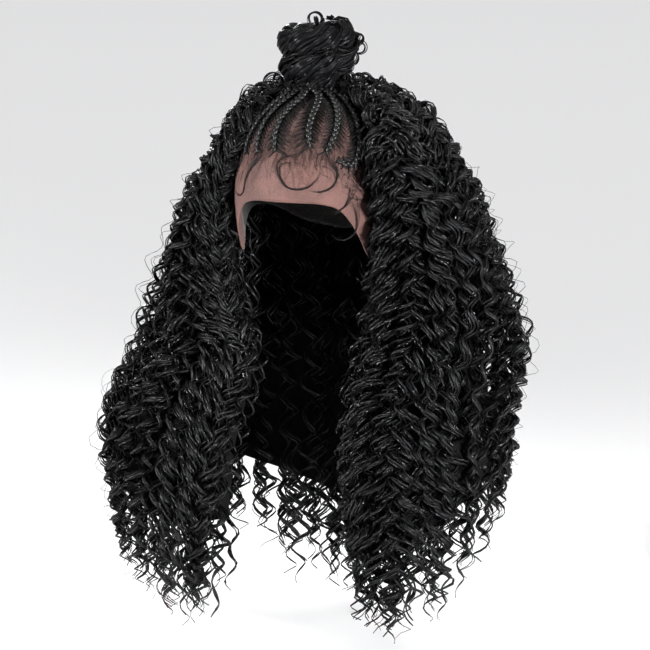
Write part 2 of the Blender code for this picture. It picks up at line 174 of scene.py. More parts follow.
def makePiece(name, parts, look, nodes=(), weld=0.0):
    # the parts' corners and faces one after another in one mesh
    starts = np.cumsum([0] + [len(p["points"]) for p in parts])
    faces = [p[kind] + s for kind in ("quads", "ends") for p, s in zip(parts, starts)]
    loops = np.concatenate([f.ravel() for f in faces])
    sizes = np.concatenate([np.full(len(f), f.shape[1]) for f in faces])
    uvs = [p["quadUv"].reshape(-1, 2) for p in parts]
    uvs = np.concatenate(uvs + [np.zeros((p["ends"].size, 2)) for p in parts])
    points = np.concatenate([p["points"] for p in parts])
    mesh = bpy.data.meshes.new(name)
    mesh.vertices.add(len(points))
    mesh.vertices.foreach_set("co", points.astype(np.float32).ravel())
    mesh.loops.add(len(loops))
    mesh.loops.foreach_set("vertex_index", loops.astype(np.int32))
    mesh.polygons.add(len(sizes))
    mesh.polygons.foreach_set("loop_start", (np.cumsum(sizes) - sizes).astype(np.int32))
    mesh.update(calc_edges=True)
    layer = mesh.uv_layers.new(name="strand")
    layer.data.foreach_set("uv", uvs.astype(np.float32).ravel())
    tone = mesh.attributes.new("tone", "FLOAT", "POINT")
    tone.data.foreach_set("value", np.concatenate([p["tone"] for p in parts]).astype(np.float32))
    if weld:
        work = bmesh.new()
        work.from_mesh(mesh)
        bmesh.ops.remove_doubles(work, verts=work.verts, dist=weld)
        bmesh.ops.recalc_face_normals(work, faces=work.faces)
        work.to_mesh(mesh)
        work.free()
    mesh.shade_smooth()
    mesh.materials.append(look)
    piece = addObject(name, mesh)
    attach(piece, "root")
    if nodes:
        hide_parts(*nodes)
    return piece


# the head that the wig is shaped for, as in the solids

head = {
    "halfWidth": 0.077, "halfDepth": 0.098, "crown": 0.098, "tabs": 0.067, "narrowing": 0.1,
    "wall": 0.0012, "seam": 0.006, "seamGap": 0.0007, "axisBack": 0.01,
}
crown, axisBack = head["crown"], head["axisBack"]

# lower edge of cap and lace: angle from the front, drop below the widest section
rim = {
    "angle": [0, 25, 41, 56, 66, 73, 84, 94, 104, 125, 150, 180],
    "drop": [-0.01, 0.00, 0.1, 0.52, 0.87, 1.00, 0.93, 0.55, 0.4, 0.48, 0.78, 0.9],
}

# room for head, neck and shoulders: drop below the crown and half sizes
room = {
    "height": 0.0995,
    "drop": [0.098, 0.165, 0.2, 0.235, 0.27, 0.3, 0.33, 0.36, 0.6],
    "width": [0.0785, 0.0708, 0.0662, 0.063, 0.075, 0.1153, 0.1647, 0.183, 0.183],
    "front": [0.0995, 0.0897, 0.0804, 0.061, 0.0549, 0.0599, 0.0681, 0.0738, 0.0738],
    "back": [0.0995, 0.0897, 0.0725, 0.061, 0.0648, 0.0746, 0.0853, 0.0902, 0.0902],
}

# outline of the hair, close to the solids: drop 0 crown, 1 widest section of the head, 2 hem
outline = {
    "drop": [-0.13, 0.00, 0.12, 0.31, 0.56, 0.92, 1.08, 1.2, 1.33, 1.4, 1.5, 1.63, 1.75,
             1.88, 2.00],
    "leftEdge": [52, 49, 43, 42, 42, 50, 53, 51, 40, 28, 26, 27, 28, 32, 36],
    "rightEdge": [64, 62, 61, 57, 49, 50, 54, 54, 50, 45, 35, 30, 31, 33, 33],
    "left": [0.17, 0.27, 0.21, 0.19, 0.21, 0.28, 0.47, 0.62, 0.74, 0.8, 0.88, 1.03, 1.08,
             1.05, 0.98],
    "right": [0.2, 0.33, 0.3, 0.34, 0.39, 0.51, 0.66, 0.81, 0.9, 0.93, 0.95, 0.91, 0.9,
              0.9, 0.89],
    "front": [3.6, 3.00, 0.87, 0.79, 0.81, 0.7, 0.63, 0.7, 0.78, 0.87, 1.1, 1.3, 1.35,
              1.36, 1.34],
    "back": [4.4, 7.5, 2.3, 1.85, 1.58, 1.51, 1.56, 1.76, 1.79, 1.78, 1.74, 1.66, 1.66,
             1.66, 1.64],
    "outer": 0.218, "hang": 0.4, "square": 2.3, "parting": 125.0, "hemBegin": 0.3,
    "hemTaper": 0.05, "tip": 0.04,
}

# hem between the tips, as a share of the hang, by the angle from the front
hem = {
    "angle": [18, 35, 50, 62, 75, 90, 110, 130, 180],
    "left": [0.88, 0.92, 0.955, 0.925, 0.86, 0.8, 0.78, 0.86, 0.98],
    "right": [1.02, 1.00, 0.97, 0.91, 0.8, 0.68, 0.68, 0.84, 0.98],
}

# camera of the picture: a long lens 5 m away, 18 degrees round to +X and 12 degrees up
picture = {"azimuth": 18.0, "elevation": 12.0, "away": 5.0, "size": 0.65,
           "right": 0.0103, "up": -0.2353, "middle": (314.7, 89.7)}


def headShare(drop):
    # half-width of the head as a share: a circle's above the widest section, then narrowing
    dome = np.sqrt(np.clip(1 - (1 - drop / crown) ** 2, 0, 1))
    below = np.clip((drop - crown) / head["tabs"], 0, 1)
    return np.where(drop < crown, dome, 1 - head["narrowing"] * below ** 2)


def headPoint(angle, level, grow=0.0):
    # ellipsoid down to level 1, then a narrowing ellipse
    turn = np.radians(angle)
    above = level < 1
    bend = np.clip(level, 0, 1) * np.pi / 2
    share = np.where(above, np.sin(bend), 1 - head["narrowing"] * (level - 1) ** 2)
    z = np.where(above, (crown + grow) * np.cos(bend), (1 - level) * head["tabs"])
    x = (head["halfWidth"] + grow) * share * np.sin(turn)
    y = -(head["halfDepth"] + grow) * share * np.cos(turn)
    return np.stack([x, y, z - crown], axis=-1)


def domePoint(x, y, grow):
    # point of the crown above a place seen from above, and the outward direction there
    wide, deep = head["halfWidth"] + grow, head["halfDepth"] + grow
    high = crown + grow
    rest = np.maximum(0.02, 1 - (x / wide) ** 2 - (y / deep) ** 2)
    z = high * np.sqrt(rest)
    out = np.stack([x / wide ** 2, y / deep ** 2, z / high ** 2], axis=-1)
    return np.stack([x, y, z - crown], axis=-1), unit(out)


def rimLevel(angle):
    # level of the cap's lower edge
    folded = np.abs((angle + 180) % 360 - 180)
    near = folded[..., None] + np.linspace(-7, 7, 15)
    near = np.abs((near + 180) % 360 - 180)
    drop = np.interp(near, rim["angle"], rim["drop"]).mean(axis=-1)
    return 1 + np.where(drop > 0, drop, drop * head["tabs"] / crown)


def innerRadius(angle, drop):
    # distance from the hair's middle line to the wearer's form: ray against an ellipse
    dome = np.sqrt(np.clip(1 - ((crown - drop) / room["height"]) ** 2, 0, 1))
    width, front, back = (np.where(drop < crown, room[way][0] * dome,
                                   np.interp(drop, room["drop"], room[way]))
                          for way in ("width", "front", "back"))
    turn = np.radians(angle)
    deep = np.maximum(np.where(np.cos(turn) > 0, front, back), 1e-4)
    width = np.maximum(width, 1e-4)
    a = (np.sin(turn) / width) ** 2 + (np.cos(turn) / deep) ** 2
    b = axisBack * np.cos(turn) / deep ** 2
    c = axisBack ** 2 / deep ** 2 - 1
    found = (b + np.sqrt(np.maximum(b * b - a * c, 0))) / a
    return np.where(b * b - a * c > 0, found, 0.0)


def outlineAt(name, level):
    return np.interp(level, outline["drop"], outline[name])


def outerRadius(level, angle):
    # a squared-off ellipse whose half sizes follow the outline
    drop = np.where(level < 1, level * crown, crown + (level - 1) * outline["hang"])
    share = headShare(np.maximum(drop, 0))
    side = head["halfWidth"] * share
    width = np.where(angle < 180, outlineAt("right", level), outlineAt("left", level))
    width = side + (outline["outer"] - side) * width
    front = (head["halfDepth"] * share + axisBack) * outlineAt("front", level)
    back = np.maximum(axisBack, head["halfDepth"] * share - axisBack)
    back = back * outlineAt("back", level)
    turn = np.radians(angle)
    deep = np.where(np.cos(turn) > 0, front, back)
    power = outline["square"]
    return (np.abs(np.sin(turn) / width) ** power
            + np.abs(np.cos(turn) / deep) ** power) ** (-1 / power)


# share of the way round at which the back hair begins and ends
backBegins, backEnds = 8 / 22, 14 / 22


def hairAngle(around, level):
    # from the +X edge (0) round the back to the -X edge (1), at a level
    begin = outlineAt("rightEdge", level)
    end = 360 - outlineAt("leftEdge", level)
    first, last = outline["parting"], 360 - outline["parting"]
    right = begin + (first - begin) * around / backBegins
    back = first + (last - first) * (around - backBegins) / (backEnds - backBegins)
    left = last + (end - last) * (around - backEnds) / (1 - backEnds)
    return np.where(around < backBegins, right, np.where(around < backEnds, back, left))


def hairPoint(around, level, share):
    # share 0 lies on the wearer, 1 on the outer side of the hair
    angle = hairAngle(around, level)
    folded = np.minimum(angle, 360 - angle)
    length = np.where(angle < 180, np.interp(folded, hem["angle"], hem["right"]),
                      np.interp(folded, hem["angle"], hem["left"])) * outline["hang"]
    down = np.maximum(level - 1, 0)
    late = np.maximum(down - outline["hemBegin"], 0) / (1 - outline["hemBegin"])
    fall = down * outline["hang"] + (length - outline["hang"]) * late
    fall = fall + outline["tip"] * down ** 5
    drop = np.where(level < 1, level * crown, crown + fall)
    outer = outerRadius(level, angle) * (1 - outline["hemTaper"] * down ** 6)
    inner = np.minimum(innerRadius(angle, drop), outer - 0.004)
    radius = inner + (outer - inner) * share
    turn = np.radians(angle)
    x = radius * np.sin(turn)
    y = axisBack - radius * np.cos(turn)
    return np.stack([x, y, -drop], axis=-1)


def keepOut(path, margin):
    # points inside the room for the wearer are moved straight out of it
    x, y = path[..., 0], path[..., 1] - axisBack
    angle = np.degrees(np.arctan2(x, -y)) % 360
    radius = np.hypot(x, y)
    least = innerRadius(angle, -path[..., 2]) + margin
    grow = np.where(path[..., 2] < 0, np.maximum(radius, least) / np.maximum(radius, 1e-6), 1.0)
    return np.stack([x * grow, y * grow + axisBack, path[..., 2]], axis=-1)


# materials

def nodeTree(name, values):
    # a material, its tree and its shader with these constant values
    made = bpy.data.materials.new(name)
    made.use_nodes = True
    shader = made.node_tree.nodes["Principled BSDF"]
    for socket, value in values.items():
        shader.inputs[socket].default_value = value
    return made, made.node_tree, shader


def addNode(tree, kind, values=(), links=()):
    # a node with its own values set and its sockets linked
    node = tree.nodes.new("ShaderNode" + kind)
    for key, value in values:
        if isinstance(key, str) and hasattr(node, key) and key not in node.inputs:
            setattr(node, key, value)
        else:
            node.inputs[key].default_value = value
    for socket, source in links:
        tree.links.new(source, node.inputs[socket])
    return node


def mapRange(tree, value, fromLow, fromHigh, toLow, toHigh, kind="LINEAR"):
    node = addNode(tree, "MapRange",
                   [("interpolation_type", kind), ("From Min", fromLow), ("From Max", fromHigh),
                    ("To Min", toLow), ("To Max", toHigh)], [("Value", value)])
    return node.outputs["Result"]


def colourRamp(tree, factor, *stops):
    # two stops, each a position and a colour
    node = addNode(tree, "ValToRGB", (), [("Fac", factor)])
    for element, (position, colour) in zip(node.color_ramp.elements, stops):
        element.position = position
        element.color = (*colour, 1)
    return node.outputs["Color"]


def addBump(tree, shader, height, strength, distance):
    node = addNode(tree, "Bump", [("Strength", strength), ("Distance", distance)],
                   [("Height", height)])
    tree.links.new(node.outputs["Normal"], shader.inputs["Normal"])


def threads(tree, place, scale, low, high):
    # 1 on the borders of small cells and 0 inside them, like the threads of a net
    net = addNode(tree, "TexVoronoi",
                  [("feature", "DISTANCE_TO_EDGE"), ("Scale", scale)], [("Vector", place)])
    return mapRange(tree, net.outputs["Distance"], low, high, 1.0, 0.0)


def multiply(tree, one, two):
    # one colour times the other
    node = addNode(tree, "Mix",
                   [("data_type", "RGBA"), ("blend_type", "MULTIPLY"), (0, 1.0)],
                   [(6, one), (7, two)])
    return node.outputs[2]


def hairLook(name, dark, pale, roughness, streaks, depth, shine):
    # fine streaks along each strand: noise on the strand's own length and width
    made, tree, shader = nodeTree(name, {"Specular IOR Level": shine})
    place = addNode(tree, "UVMap", [("uv_map", "strand")])
    stretch = addNode(tree, "Mapping", [("Scale", (streaks, 0.35, 1.0))],
                      [("Vector", place.outputs["UV"])])
    fine = addNode(tree, "TexNoise", [("Scale", 1.0), ("Detail", 3.0)],
                   [("Vector", stretch.outputs["Vector"])])
    tone = addNode(tree, "Attribute", [("attribute_name", "tone")])
    blend = addNode(tree, "Math", [("operation", "MULTIPLY_ADD"), (1, 0.6)],
                    [(0, fine.outputs["Fac"]), (2, tone.outputs["Fac"])])
    colour = colourRamp(tree, blend.outputs[0], (0.35, dark), (1.0, pale))
    tree.links.new(colour, shader.inputs["Base Color"])
    rough = mapRange(tree, blend.outputs[0], 0.4, 1.3, roughness - 0.06, roughness + 0.3)
    tree.links.new(rough, shader.inputs["Roughness"])
    addBump(tree, shader, fine.outputs["Fac"], depth, 0.001)
    return made


# dark and pale colour, roughness, streaks across a strand, their depth, shine
hairLooks = {
    "curlyHair": ((0.0005, 0.0005, 0.0006), (0.003, 0.003, 0.0034), 0.22, 7.0, 0.7, 0.165),
    "plaitedHair": ((0.0005, 0.0005, 0.0005), (0.004, 0.0044, 0.004), 0.46, 3.0, 0.25, 0.27),
    "bunHair": ((0.0005, 0.0005, 0.0006), (0.003, 0.003, 0.0034), 0.24, 7.0, 0.6, 0.065),
    "fineHair": ((0.001, 0.0008, 0.0008), (0.005, 0.004, 0.004), 0.5, 4.0, 0.3, 0.12),
    # hair underneath and the bun's core: real hair, coloured darker than the curls as painted
    # shade of the depth between them
    "hairUnderneathShaded": ((0.0004, 0.0004, 0.0005), (0.0015, 0.0015, 0.0018), 0.85, 2.0, 0.6, 0.08),
}
curlLook, plaitLook, bunLook, fineLook, coreShadeLook = (
    hairLook(name, *values) for name, values in hairLooks.items())

# lace colours; roots: the heights over which the lace darkens towards the plaits, a painted shade
laceSheet = {"threads": 1100.0, "clouds": 34.0, "knots": 560.0, "dark": (0.039, 0.0128, 0.0092),
             "pale": (0.067, 0.0232, 0.0168), "roots": (-0.066, -0.036)}


def laceMaterial():
    # sheer brown lace: fine net of holes, small dark knots where hair is tied in, and painted
    # shade towards the plaits
    made, tree, shader = nodeTree("sheerLace", {"Roughness": 0.78, "Sheen Weight": 0.08})
    place = addNode(tree, "TexCoord").outputs["Object"]
    thread = threads(tree, place, laceSheet["threads"], 0.04, 0.22)
    cloud = addNode(tree, "TexNoise", [("Scale", laceSheet["clouds"]), ("Detail", 4.0)],
                    [("Vector", place)])
    colour = colourRamp(tree, cloud.outputs["Fac"], (0.32, laceSheet["dark"]),
                        (0.7, laceSheet["pale"]))
    knots = addNode(tree, "TexVoronoi", [("Scale", laceSheet["knots"])],
                    [("Vector", place)])
    dots = mapRange(tree, knots.outputs["Distance"], 0.12, 0.3, 0.55, 1.0)
    split = addNode(tree, "SeparateXYZ", (), [("Vector", place)])
    # painted shade: darker towards the roots of the plaits, as if they shaded the lace there
    roots = mapRange(tree, split.outputs["Z"], *laceSheet["roots"], 1.0, 0.7, "SMOOTHSTEP")
    shadedScalp = multiply(tree, multiply(tree, colour, dots), roots)
    tree.links.new(shadedScalp, shader.inputs["Base Color"])
    cover = mapRange(tree, thread, 0.0, 1.0, 0.8, 0.97)
    tree.links.new(cover, shader.inputs["Alpha"])
    addBump(tree, shader, thread, 0.25, 0.0002)
    return made


def netMaterial():
    # dark stretch net with the shine of its threads
    made, tree, shader = nodeTree("capNet", {"Roughness": 0.7})
    place = addNode(tree, "TexCoord").outputs["Object"]
    thread = threads(tree, place, 420.0, 0.05, 0.25)
    # painted sheen: the threads coloured lighter than the dark gaps between them
    colour = colourRamp(tree, thread, (0.0, (0.003, 0.003, 0.003)), (1.0, (0.022, 0.019, 0.018)))
    tree.links.new(colour, shader.inputs["Base Color"])
    addBump(tree, shader, thread, 0.8, 0.0006)
    return made


laceLook = laceMaterial()
netLook = netMaterial()
print("materials made")


# cap and lace: shells on the head form, split at the seam

def shellGrid(seamY, turns, rows, grow):
    # rays from the seam plane's middle line meet the head form: k^2 - 2bk + q^2 = s^2
    a = np.radians(turns)[None, :]
    wide, deep = head["halfWidth"] + grow, head["halfDepth"] + grow
    high = crown + grow
    q = seamY / deep
    ahead = q * np.cos(a)
    k = ahead + np.sqrt(ahead ** 2 - q ** 2 + 1)
    facing = np.degrees(np.arctan2(k * np.sin(a), k * np.cos(a) - q))
    level = np.linspace(0, 1, rows)[:, None] * rimLevel(facing)
    bend = np.clip(level, 0, 1) * np.pi / 2
    share = np.where(level < 1, 1.0, 1 - head["narrowing"] * (level - 1) ** 2)
    b = q * np.cos(a) * np.sin(bend)
    k = b + np.sqrt(b ** 2 - q ** 2 + share ** 2)
    x = wide * k * np.sin(a) * np.sin(bend)
    y = seamY - deep * k * np.cos(a) * np.sin(bend)
    z = np.where(level < 1, high * k * np.cos(bend), (1 - level) * head["tabs"])
    return np.stack([x, y, z - crown], axis=-1)


def shellParts(kind, seamY):
    # outer and inner grid with their borders joined, so the sheet is closed
    turns = np.linspace(*kind["turns"], kind["columns"])
    outer, inner = (shellGrid(seamY, turns, kind["rows"], grow) for grow in (head["wall"], 0.0))
    parts = [gridPart(outer), gridPart(inner[:, ::-1])]
    for one, two in ((outer[-1], inner[-1]), (inner[:, 0], outer[:, 0]),
                     (outer[:, -1], inner[:, -1]), (inner[0], outer[0])):
        parts.append(gridPart(np.stack([one, two])))
    return parts


laceFront = {"columns": 101, "rows": 43, "turns": (-90, 90), "flat": (0.38, 0.147),
             "area": 0.0318}
lace = makePiece("laceFront", shellParts(laceFront, -head["seam"] - head["seamGap"] / 2),
                 laceLook, ["lace_front"], weld=1e-6)

capNet = {"columns": 73, "rows": 33, "turns": (90, 270), "flat": (0.38, 0.22), "area": 0.0404}
cap = makePiece("capNet", shellParts(capNet, -head["seam"] + head["seamGap"] / 2),
                netLook, ["cap"], weld=1e-6)
print("cap and lace made")


# plaits

plaits = {
    "width": (0.0056, 0.0092), "flat": 0.8, "period": 0.0182, "swing": 0.28, "rise": 0.2,
    "strandWidth": 0.25, "puff": 0.25, "strandHeight": 0.23, "samples": 140, "sides": 6,
    "sunk": 0.12, "start": 0.62, "startLength": 0.012, "tones": [0.1, 0.2, 0.3],
}

# middle lines seen from above, shares of the head's half sizes, and the angle at the bun
plaitLines = {
    "startX": [-0.66, -0.44, -0.17, 0.27, 0.46, 0.6],
    "startY": [0.65, 0.79, 0.87, 0.81, 0.77, 0.71],
    "pullX": [-0.65, -0.57, -0.35, 0.1, 0.6, 1.06],
    "pullY": [0.42, 0.51, 0.55, 0.64, 0.51, 0.48],
    "leadX": [-0.23, 0.03, 0.17, 0.36, 0.43, 0.5],
    "leadY": [0.4, 0.31, 0.39, 0.29, 0.21, 0.08],
    "bunAngle": [-55, -33, -11, 13, 37, 60],
}

bun = {
    "x": -0.004, "y": 0.004, "radius": 0.0395, "height": 0.066, "leanX": 0.009, "leanY": 0.004,
    "turns": 2.1, "ridge": 0.075, "foot": 0.2, "root": 0.48,
    "rings": [-0.16, 0.03, 0.14, 0.26, 0.38, 0.49, 0.6, 0.72, 0.84, 0.94, 1.00],
    "radii": [0.63, 0.64, 0.74, 0.88, 0.9, 0.87, 0.95, 1.00, 0.9, 0.62, 0.24],
}


def plaitPlan(number, share):
    # cubic curve through the plait's own points, which ends inside the bun
    w, d = head["halfWidth"], head["halfDepth"]
    turn = math.radians(plaitLines["bunAngle"][number])
    root = bun["radius"] * bun["root"]
    line = [[plaitLines[key + "X"][number] * w, -plaitLines[key + "Y"][number] * d]
            for key in ("start", "pull", "lead")]
    line = np.array(line + [[bun["x"] + root * math.sin(turn), bun["y"] - root * math.cos(turn)]])
    rest = 1 - share
    weight = np.stack([rest ** 3, 3 * rest ** 2 * share, 3 * rest * share ** 2, share ** 3], -1)
    return weight @ line


seat = head["wall"] + 0.0003


def plaitFrame(number, count):
    # points on the lace with directions along, across and outward
    share = np.linspace(0, 1, count)
    plan = plaitPlan(number, share)
    foot = domePoint(plan[:, 0], plan[:, 1], seat)[0]
    foot = resample(foot[None], count)[0][0]
    foot, outward = domePoint(foot[:, 0], foot[:, 1], seat)
    along = unit(np.gradient(foot, axis=0))
    across = unit(np.cross(along, outward))
    walked = stepLengths(foot[None])[0]
    return foot, along, across, outward, walked


def makePlait(number):
    # three strands: sideways w sin(p + 120k), up and down h sin(2(p + 120k))
    foot, _, across, outward, walked = plaitFrame(number, plaits["samples"])
    width = np.interp(walked / walked[-1], [0, 1], plaits["width"])
    width = width * (plaits["start"]
                     + (1 - plaits["start"]) * smooth(walked / plaits["startLength"]))
    paths, halves = [], []
    for strand in range(3):
        phase = 2 * np.pi * (walked / plaits["period"] + strand / 3)
        side = plaits["swing"] * width * np.sin(phase)
        lift = width * plaits["flat"] * 0.5 - plaits["sunk"] * width
        lift = lift + plaits["rise"] * width * np.sin(2 * phase)
        paths.append(foot + across * side[:, None] + outward * lift[:, None])
        puff = width * (1 + plaits["puff"] * np.sin(2 * phase))
        halves.append(np.stack([plaits["strandHeight"] * puff,
                                plaits["strandWidth"] * puff], axis=-1))
    thin = np.broadcast_to(outward, (3, *outward.shape))
    return sweep(np.array(paths), thin, np.array(halves), ringProfile(plaits["sides"]),
                 np.array(plaits["tones"]))


for number in range(6):
    makePiece("plait%d" % (number + 1), [makePlait(number)], plaitLook,
              ["braid_%d" % (number + 1)])
print("plaits made")


# hair fed into the plaits from both sides, between narrow partings

feeding = {
    "pitch": 0.0014, "reach": 0.018, "part": 0.002, "shut": 0.0032, "outside": (0.004, 0.014),
    "slant": 0.42, "until": 0.9, "bunch": 0.8, "width": 0.00105, "thick": 0.00055, "samples": 6,
    "sizes": [1.25, 0.22, 0.17], "taper": [0.2, 0.5, 0.8, 1.0, 1.15, 1.0], "steps": 400,
    "bend": (0.55, 0.3), "end": (0.22, 0.0015), "seed": 11,
}


def feedStrokes():
    # each stroke runs from beside the parting, forward of its end, to the plait's side
    source = np.random.default_rng(feeding["seed"])
    frames = [plaitFrame(k, feeding["steps"]) for k in range(6)]
    strokes, sizes = [], []
    for number in range(6):
        foot, along, across, _, walked = frames[number]
        for side in (-1, 1):
            count = int(walked[-1] * feeding["until"] / feeding["pitch"])
            spot = (np.arange(count) + source.uniform(0, 0.5, count)) / count
            spot = spot ** feeding["bunch"]
            pick = (spot * feeding["until"] * (feeding["steps"] - 1)).astype(int)
            reach = np.full(count, feeding["reach"])
            other = number + 1 if side * across[200, 0] > 0 else number - 1
            if 0 <= other < 6:
                gaps = np.linalg.norm(foot[pick][:, None] - frames[other][0][None, ::4], axis=-1)
                part = feeding["part"] - (feeding["part"] + feeding["shut"]) * smooth(spot * 1.7)
                reach = np.minimum(reach, gaps.min(axis=1) / 2 - part)
            else:
                least, more = feeding["outside"]
                reach = np.minimum(reach, least + more * smooth(spot * 2.5))
            reach = np.maximum(reach, 0.0012) * source.uniform(0.8, 1.0, count)
            width = np.interp(walked[pick] / walked[-1], [0, 1], plaits["width"])
            # root, bend and end of each stroke: metres to the side, metres along the plait
            places = ((reach, -reach * feeding["slant"]),
                      (reach * feeding["bend"][0], -reach * feeding["bend"][1]),
                      (width * feeding["end"][0], feeding["end"][1] + 0 * width))
            strokes.append([foot[pick] + side * across[pick] * away[:, None]
                            + along[pick] * ahead[:, None] for away, ahead in places])
            own = np.resize(feeding["sizes"], count)
            sizes.append(np.maximum(own, 0.75 * smooth((spot - 0.35) * 2.2)))
    begin, bend, end = np.concatenate(strokes, axis=1)
    t = np.linspace(0, 1, feeding["samples"])[None, :, None]
    path = (1 - t) ** 2 * begin[:, None] + 2 * t * (1 - t) * bend[:, None] + t ** 2 * end[:, None]
    lifted, normal = domePoint(path[..., 0], path[..., 1], seat)
    lift = feeding["thick"] * (0.5 + 1.6 * t[..., 0] ** 2)
    lift = lift * source.uniform(0.8, 1.5, (len(path), 1))
    path = lifted + normal * lift[..., None]
    size = source.uniform(0.85, 1.15, (len(path), 1)) * np.concatenate(sizes)[:, None]
    half = flatSizes(size * np.array(feeding["taper"]), feeding)
    return sweep(path, normal, half, thinProfile, source.uniform(0.2, 0.7, len(path)))


makePiece("feedInHair", [feedStrokes()], fineLook)
print("feed-in hair made")


# bun: a dark core, ropes of curly wisps wound round it, loose loops

def bunRadius(turn, height):
    # the solids' ring radius with a bulge that climbs as it turns
    bulge = bun["ridge"] * np.cos(turn - 2 * np.pi * bun["turns"] * height)
    bulge = bulge * np.clip(height / bun["foot"], 0, 1)
    return bun["radius"] * np.interp(height, bun["rings"], bun["radii"]) * (1 + bulge)


def bunPoint(turn, height, lift):
    # turn from the front towards +X, height as a share, lift outwards in metres
    radius = bunRadius(turn, height) + lift
    x = bun["x"] + bun["leanX"] * height + radius * np.sin(turn)
    y = bun["y"] + bun["leanY"] * height - radius * np.cos(turn)
    return np.stack([x, y, bun["height"] * height + 0 * turn], axis=-1)


rope = {
    "count": 210, "samples": 40, "radius": 0.0128, "tall": 1.1, "twists": 4.6, "turns": 2.6,
    "heights": [-0.05, 0.2, 0.7, 1.0], "sizes": [0.85, 0.95, 1.05, 0.9], "flatFrom": 0.78,
    "shift": 0.04, "part": (0.22, 0.42), "wave": 0.0024, "waves": 19, "slim": 0.0045,
    "depth": (-0.0016, 0.001), "width": 0.0023, "thick": 0.001, "full": 0.1, "root": 0.3,
    "largest": 1.3, "seed": 5,
}

core = {"columns": 48, "rows": 34, "heights": (-0.12, 0.985), "depth": 0.0065, "round": 0.022}


def bunCore():
    # the bun's own form, a little inside the wisps and rounded at the top
    turn = np.linspace(0, 2 * np.pi, core["columns"], endpoint=False)[None, :]
    height = np.linspace(*core["heights"], core["rows"])[:, None]
    lift = -core["depth"] - core["round"] * smooth((height - 0.62) / 0.36)
    points = bunPoint(turn, height * 0.9, lift)
    part = gridPart(points[::-1], closed=True, tone=0.3)
    part["ends"] = part["ends"][:, ::-1]
    return part


def lockWisps(path, out, t, kind, draw, source):
    # flat locks, thin at both ends and full between them
    taper = np.minimum(smooth(t / kind["full"]) + kind["root"], smooth((1 - t) / 0.15) + 0.15)
    half = flatSizes(np.minimum(taper, 1) * draw(0.6, kind["largest"]), kind)
    return sweep(path, out, half, lockProfile, source.uniform(0.2, 0.9, len(path)))


def slimming(height):
    # the bun's foot is drawn in
    return rope["slim"] * smooth(1.6 - 2.6 * height)


def ropeWisps():
    # the bun is a twisted rope wound round itself: wisps circle the rope as it climbs
    source, draw, _, t = strandSet(rope)
    start = draw(-0.05, 0.85)
    height = np.clip(start + draw(*rope["part"]) * t, -0.05, 1.0)
    turn = 2 * np.pi * rope["turns"] * (height - rope["shift"])
    size = rope["radius"] * np.interp(height, rope["heights"], rope["sizes"])
    flat = rope["flatFrom"]
    low = np.where(height > flat, flat + (height - flat) * 0.3, height)
    middle = bunPoint(turn, low, -size - slimming(height))
    out = np.stack([np.sin(turn), -np.cos(turn), 0 * turn], axis=-1)
    up = np.array([0.0, 0.0, 1.0])
    phase = 2 * np.pi * (rope["twists"] * height + draw(0, 1))
    radial = out * np.cos(phase)[..., None] + up * rope["tall"] * np.sin(phase)[..., None]
    wave = rope["wave"] * np.cos(2 * np.pi * height * rope["waves"] + 0.8 * np.sin(5 * start))
    wave = wave + draw(*rope["depth"])
    path = middle + radial * (size + wave)[..., None]
    return lockWisps(path, radial, t, rope, draw, source)


# curly wisps that fill the grooves between the rolls and cover the top
grooves = {"count": 110, "samples": 26, "heights": (-0.05, 0.99), "turn": (0.9, 2.2),
           "climb": (-0.1, 0.22), "wave": 0.003, "rise": 0.045, "pitch": 1.1, "lift": -0.003,
           "width": 0.0016, "thick": 0.0008, "full": 0.12, "root": 0.2, "largest": 1.2,
           "seed": 9}


def grooveWisps():
    # wisps that run round the bun and wave up and down and in and out
    source, draw, _, t = strandSet(grooves)
    start = draw(*grooves["heights"])
    turn = draw(0, 2 * np.pi)
    turn = turn + draw(*grooves["turn"]) * t
    phase = 2 * np.pi * (turn / grooves["pitch"] + draw(0, 1))
    height = start + draw(*grooves["climb"]) * t
    height = np.clip(height + grooves["rise"] * np.sin(phase), -0.08, 1.0)
    lift = grooves["lift"] - slimming(height) + grooves["wave"] * np.cos(phase)
    path = bunPoint(turn, height, lift)
    out = np.stack([np.sin(turn), -np.cos(turn), 1.6 * smooth(height * 4 - 3)], axis=-1)
    return lockWisps(path, out, t, grooves, draw, source)


# loose loops: turn in degrees, height as a share, radius in mm, tilt in degrees, strands
bunLoops = {
    "turn": [0, 25, 105, 112, 100, 118, 96, 128, -70, 180, 215, 60, 150, -35, 240, -120],
    "height": [0.99, 1.00, 0.62, 0.46, 0.8, 0.3, 0.16, 0.7, 0.62, 0.9, 0.45, 0.94, 0.15,
               0.1, 0.75, 0.2],
    "radius": [8, 6, 7, 8, 6, 5, 6, 7, 4, 7, 7, 6, 6, 4, 7, 5],
    "tilt": [75, 100, 80, 95, 60, 85, 110, 70, 80, 65, 75, 100, 60, 100, 70, 80],
    "strands": 5, "samples": 24, "thick": 0.0006, "width": 0.0009, "sunk": 0.004, "arc": 2.2,
    "drift": 0.9, "loose": 0.0007, "seed": 8,
}

# rings of hair that stand on the crown beside the bun: middle in mm, radius in mm
crownLoops = {
    "middle": [(-1, 5, 71), (-44, 4, 4), (-37, 2, 8), (-58, 6, -7), (-70, 8, -20),
               (-82, 8, -36), (26, 6, 14), (34, 8, 14), (43, 8, 11), (54, 10, 6), (66, 12, -4),
               (78, 12, -18), (8, 34, 12), (-20, 40, 8), (40, 40, 4), (-50, 46, -8),
               (62, 50, -12)],
    "radius": [7, 9, 7, 9, 8, 8, 6, 5, 6, 7, 8, 8, 8, 8, 8, 8, 8],
}


